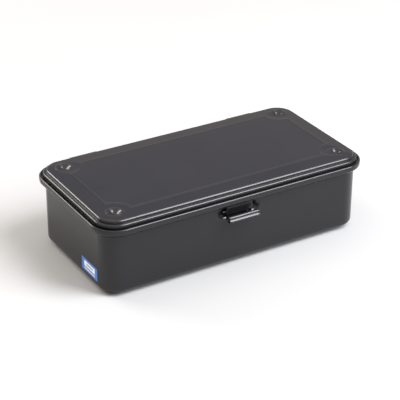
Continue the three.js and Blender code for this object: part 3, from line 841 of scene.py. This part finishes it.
class Nodes:
    """A short way to write a material's nodes. A value may be a number, a colour or another
    node's output, which is then linked."""

    def __init__(self, name):
        self.material = bpy.data.materials.new(name)
        self.material.use_nodes = True
        self.tree = self.material.node_tree
        self.shader = self.tree.nodes["Principled BSDF"]

    def node(self, kind, settings=None, **inputs):
        """A new node, with settings of its own and values for its inputs. An underscore in
        an input's name stands for a space."""
        made = self.tree.nodes.new("ShaderNode" + kind)
        for key, value in (settings or {}).items():
            setattr(made, key, value)
        for key, value in inputs.items():
            self.plug(made.inputs[key.replace("_", " ")], value)
        return made

    def plug(self, socket, value):
        if isinstance(value, bpy.types.NodeSocket):
            self.tree.links.new(value, socket)
        else:
            socket.default_value = value

    def set(self, **inputs):
        """Sets or links inputs of the material's shader."""
        for key, value in inputs.items():
            self.plug(self.shader.inputs[key.replace("_", " ")], value)

    def place(self):
        """Where a point is on its object, in metres."""
        return self.node("TexCoord").outputs["Object"]

    def noise(self, scale, detail, vector=None):
        made = self.node("TexNoise", Scale=scale, Detail=detail, Roughness=0.5,
                         Vector=vector or self.place())
        return made.outputs["Fac"]

    def span(self, value, low, high):
        """Spreads a value between 0 and 1 from low to high."""
        made = self.node("MapRange", Value=value, To_Min=low, To_Max=high)
        return made.outputs["Result"]

    def ramp(self, value, *stops):
        """A colour for the value, between stops of (position, colour)."""
        made = self.node("ValToRGB", Fac=value)
        fill_ramp(made.color_ramp, stops)
        return made.outputs["Color"]

    def mix(self, share, a, b):
        """Colour a where the share is 0 and b where it is 1."""
        made = self.node("Mix", {"data_type": "RGBA"})
        self.plug(made.inputs["Factor"], share)
        for socket, value in zip([s for s in made.inputs if s.type == "RGBA"], (a, b)):
            self.plug(socket, value if isinstance(value, bpy.types.NodeSocket) else (*value, 1))
        return [s for s in made.outputs if s.type == "RGBA"][0]

    def math(self, operation, a, b=0.0):
        made = self.node("Math", {"operation": operation})
        self.plug(made.inputs[0], a)
        self.plug(made.inputs[1], b)
        return made.outputs["Value"]

    def bump(self, height, distance, strength):
        """A normal bent by a height of the given full distance, in metres."""
        made = self.node("Bump", Height=height, Distance=distance, Strength=strength)
        return made.outputs["Normal"]


def make_black_paint():
    """Satin stoved enamel: nearly black, with a fine orange peel and faint uneven gloss."""
    n = Nodes("satin_enamel")
    cloud = n.noise(scale=28, detail=3)
    peel = n.noise(scale=900, detail=2)
    grain = n.noise(scale=5200, detail=1)
    dark, pale = (0.0092, 0.0088, 0.0100), (0.0112, 0.0108, 0.0124)
    gloss = n.math("ADD", n.span(cloud, -0.015, 0.015), n.span(grain, 0.19, 0.23))
    n.set(Base_Color=n.ramp(cloud, (0.3, dark), (0.7, pale)), Roughness=gloss, IOR=1.44,
          Normal=n.bump(peel, distance=0.00002, strength=0.2))
    return n.material


def make_zinc_steel():
    """Bright zinc plate: metallic, faintly cloudy, with fine drawn lines along the piece."""
    n = Nodes("zinc_plate")
    cloud = n.noise(scale=350, detail=3)
    stretched = n.node("Mapping", Vector=n.place(), Scale=(0.08, 1, 1)).outputs["Vector"]
    lines = n.noise(scale=9000, detail=2, vector=stretched)
    dark, pale = (0.46, 0.47, 0.48), (0.62, 0.63, 0.63)
    n.set(Base_Color=n.ramp(cloud, (0.3, dark), (0.7, pale)), Metallic=1.0,
          Roughness=n.span(lines, 0.24, 0.4),
          Normal=n.bump(lines, distance=0.000006, strength=0.4))
    return n.material


# The label's white areas, as shares of its width and height: (front, back, low, high).
PRINT_BLOCK = (0.16, 0.84, 0.38, 0.82)
PRINT_WINDOW = (0.28, 0.72, 0.55, 0.65)
PRINT_BAR = (0.16, 0.84, 0.16, 0.26)


def make_printed_label():
    """Blue film with a plain white frame and a bar, and a faint print grain."""
    n = Nodes("label_film")
    parts = n.node("SeparateXYZ", Vector=n.node("TexCoord").outputs["Generated"])
    across, up = parts.outputs["Y"], parts.outputs["Z"]

    def between(value, low, high):
        above = n.math("GREATER_THAN", value, low)
        return n.math("MULTIPLY", above, n.math("LESS_THAN", value, high))

    def area(front, back, low, high):
        return n.math("MULTIPLY", between(across, front, back), between(up, low, high))

    frame_share = n.math("SUBTRACT", area(*PRINT_BLOCK), area(*PRINT_WINDOW))
    white = n.math("ADD", frame_share, area(*PRINT_BAR))
    grain = n.noise(scale=2500, detail=2)
    blue = n.ramp(grain, (0.35, (0.05, 0.16, 0.50)), (0.65, (0.07, 0.21, 0.58)))
    paper = n.ramp(grain, (0.35, (0.86, 0.88, 0.92)), (0.65, (0.93, 0.95, 0.97)))
    n.set(Base_Color=n.mix(white, blue, paper), Roughness=n.span(grain, 0.36, 0.46),
          Normal=n.bump(grain, distance=0.00001, strength=0.3))
    return n.material


MATERIALS = {
    "black_paint": make_black_paint(),
    "zinc_steel": make_zinc_steel(),
    "printed_label": make_printed_label(),
}


# ---- Studio -------------------------------------------------------------------------
CAMERA_AZIMUTH, CAMERA_ELEVATION, CAMERA_ROLL = -31.085, 28.155, 0.392  # degrees
CAMERA_DISTANCE = 0.9756
CAMERA_LENS = 130.5
CAMERA_AIM = (-0.0045, -0.0047, 0.0003)  # from the middle of the box

FLOOR_HALF_SIZE = 6.0
FLOOR_SHADE = 0.42

# Softboxes that face the box: place, (width, height), power and colour.
SOFTBOXES = {
    "front_right": ((0.61, -0.74, 0.98), (0.65, 1.2), 42, (0.93, 0.95, 1)),
    "back_left": ((-0.58, 1.08, 0.72), (0.85, 0.45), 14.5, (1, 0.94, 0.88)),
}

# The room's colour by the sine of the height above the horizon: warm and pale low down,
# cool at the middle heights, bright overhead.
ROOM_STOPS = (
    (0.3, (0.60, 0.56, 0.50)),
    (0.48, (0.468, 0.464, 0.558)),
    (0.6, (0.468, 0.464, 0.558)),
    (0.8, (1.5, 1.42, 1.28)),
)


def add_camera():
    """The camera looks down at the box from the front left."""
    azimuth, elevation = math.radians(CAMERA_AZIMUTH), math.radians(CAMERA_ELEVATION)
    back = Vector((math.sin(azimuth) * math.cos(elevation),
                   -math.cos(azimuth) * math.cos(elevation), math.sin(elevation)))
    aim = (cad_low + cad_high) / 2 + Vector(CAMERA_AIM)
    data = bpy.data.cameras.new("camera")
    data.lens = CAMERA_LENS
    data.sensor_width = 36
    data.clip_start = 0.05
    data.clip_end = 20
    camera = link("camera", data)
    roll = Matrix.Rotation(math.radians(CAMERA_ROLL), 4, "Z")
    turn = (-back).to_track_quat("-Z", "Y").to_matrix().to_4x4()
    camera.matrix_world = Matrix.Translation(aim + back * CAMERA_DISTANCE) @ turn @ roll
    bpy.context.scene.camera = camera


def add_floor():
    """A plain pale sheet that reaches far past the box."""
    mesh = bpy.data.meshes.new("floor")
    size = FLOOR_HALF_SIZE
    corners = [(-size, -size, 0), (size, -size, 0), (size, size, 0), (-size, size, 0)]
    mesh.from_pydata(corners, [], [(0, 1, 2, 3)])
    floor = link("floor", mesh)
    n = Nodes("floor_white")
    n.set(Base_Color=(FLOOR_SHADE, FLOOR_SHADE, FLOOR_SHADE, 1), Roughness=0.9,
          Specular_IOR_Level=0.1)
    mesh.materials.append(n.material)


def add_softbox(name, place, size, power, color):
    """A rectangular lamp that faces the middle of the box."""
    data = bpy.data.lights.new(name, "AREA")
    data.shape = "RECTANGLE"
    data.size, data.size_y = size
    data.energy = power
    data.color = color
    light = link(name, data)
    light.location = place
    middle = (cad_low + cad_high) / 2
    light.rotation_euler = (middle - Vector(place)).to_track_quat("-Z", "Y").to_euler()


def set_surroundings():
    """A pale room whose colour changes with height, with no hard shapes to reflect."""
    world = bpy.data.worlds.new("studio")
    bpy.context.scene.world = world
    world.use_nodes = True
    nodes, links = world.node_tree.nodes, world.node_tree.links
    place = nodes.new("ShaderNodeTexCoord")
    parts = nodes.new("ShaderNodeSeparateXYZ")
    ramp = nodes.new("ShaderNodeValToRGB")
    fill_ramp(ramp.color_ramp, ROOM_STOPS)
    links.new(place.outputs["Generated"], parts.inputs["Vector"])
    links.new(parts.outputs["Z"], ramp.inputs["Fac"])
    links.new(ramp.outputs["Color"], nodes["Background"].inputs["Color"])
    nodes["Background"].inputs["Strength"].default_value = 1.0
    bpy.context.scene.view_settings.view_transform = "Standard"


# ---- Scene --------------------------------------------------------------------------
def build_hinge(side, x):
    """One hinge: its two leaves, its pin and its rivets."""
    build_body_leaf(side, x)
    build_lid_leaf(side, x)
    build_pin(f"hinge_{side}_pin_bar", f"hinge_{side}_pin")
    for number in RIVET_NUMBERS:
        build_rivet(side, number)


add_camera()
add_floor()
for name, softbox in SOFTBOXES.items():
    add_softbox(name, *softbox)
set_surroundings()

build_tray()
build_lid()
build_lever()
build_pin("latch_pin_bar", "latch_pin")
build_spring()
build_keeper()
build_label()
for side, x in zip(HINGE_SIDES, HINGE_XS):
    build_hinge(side, x)
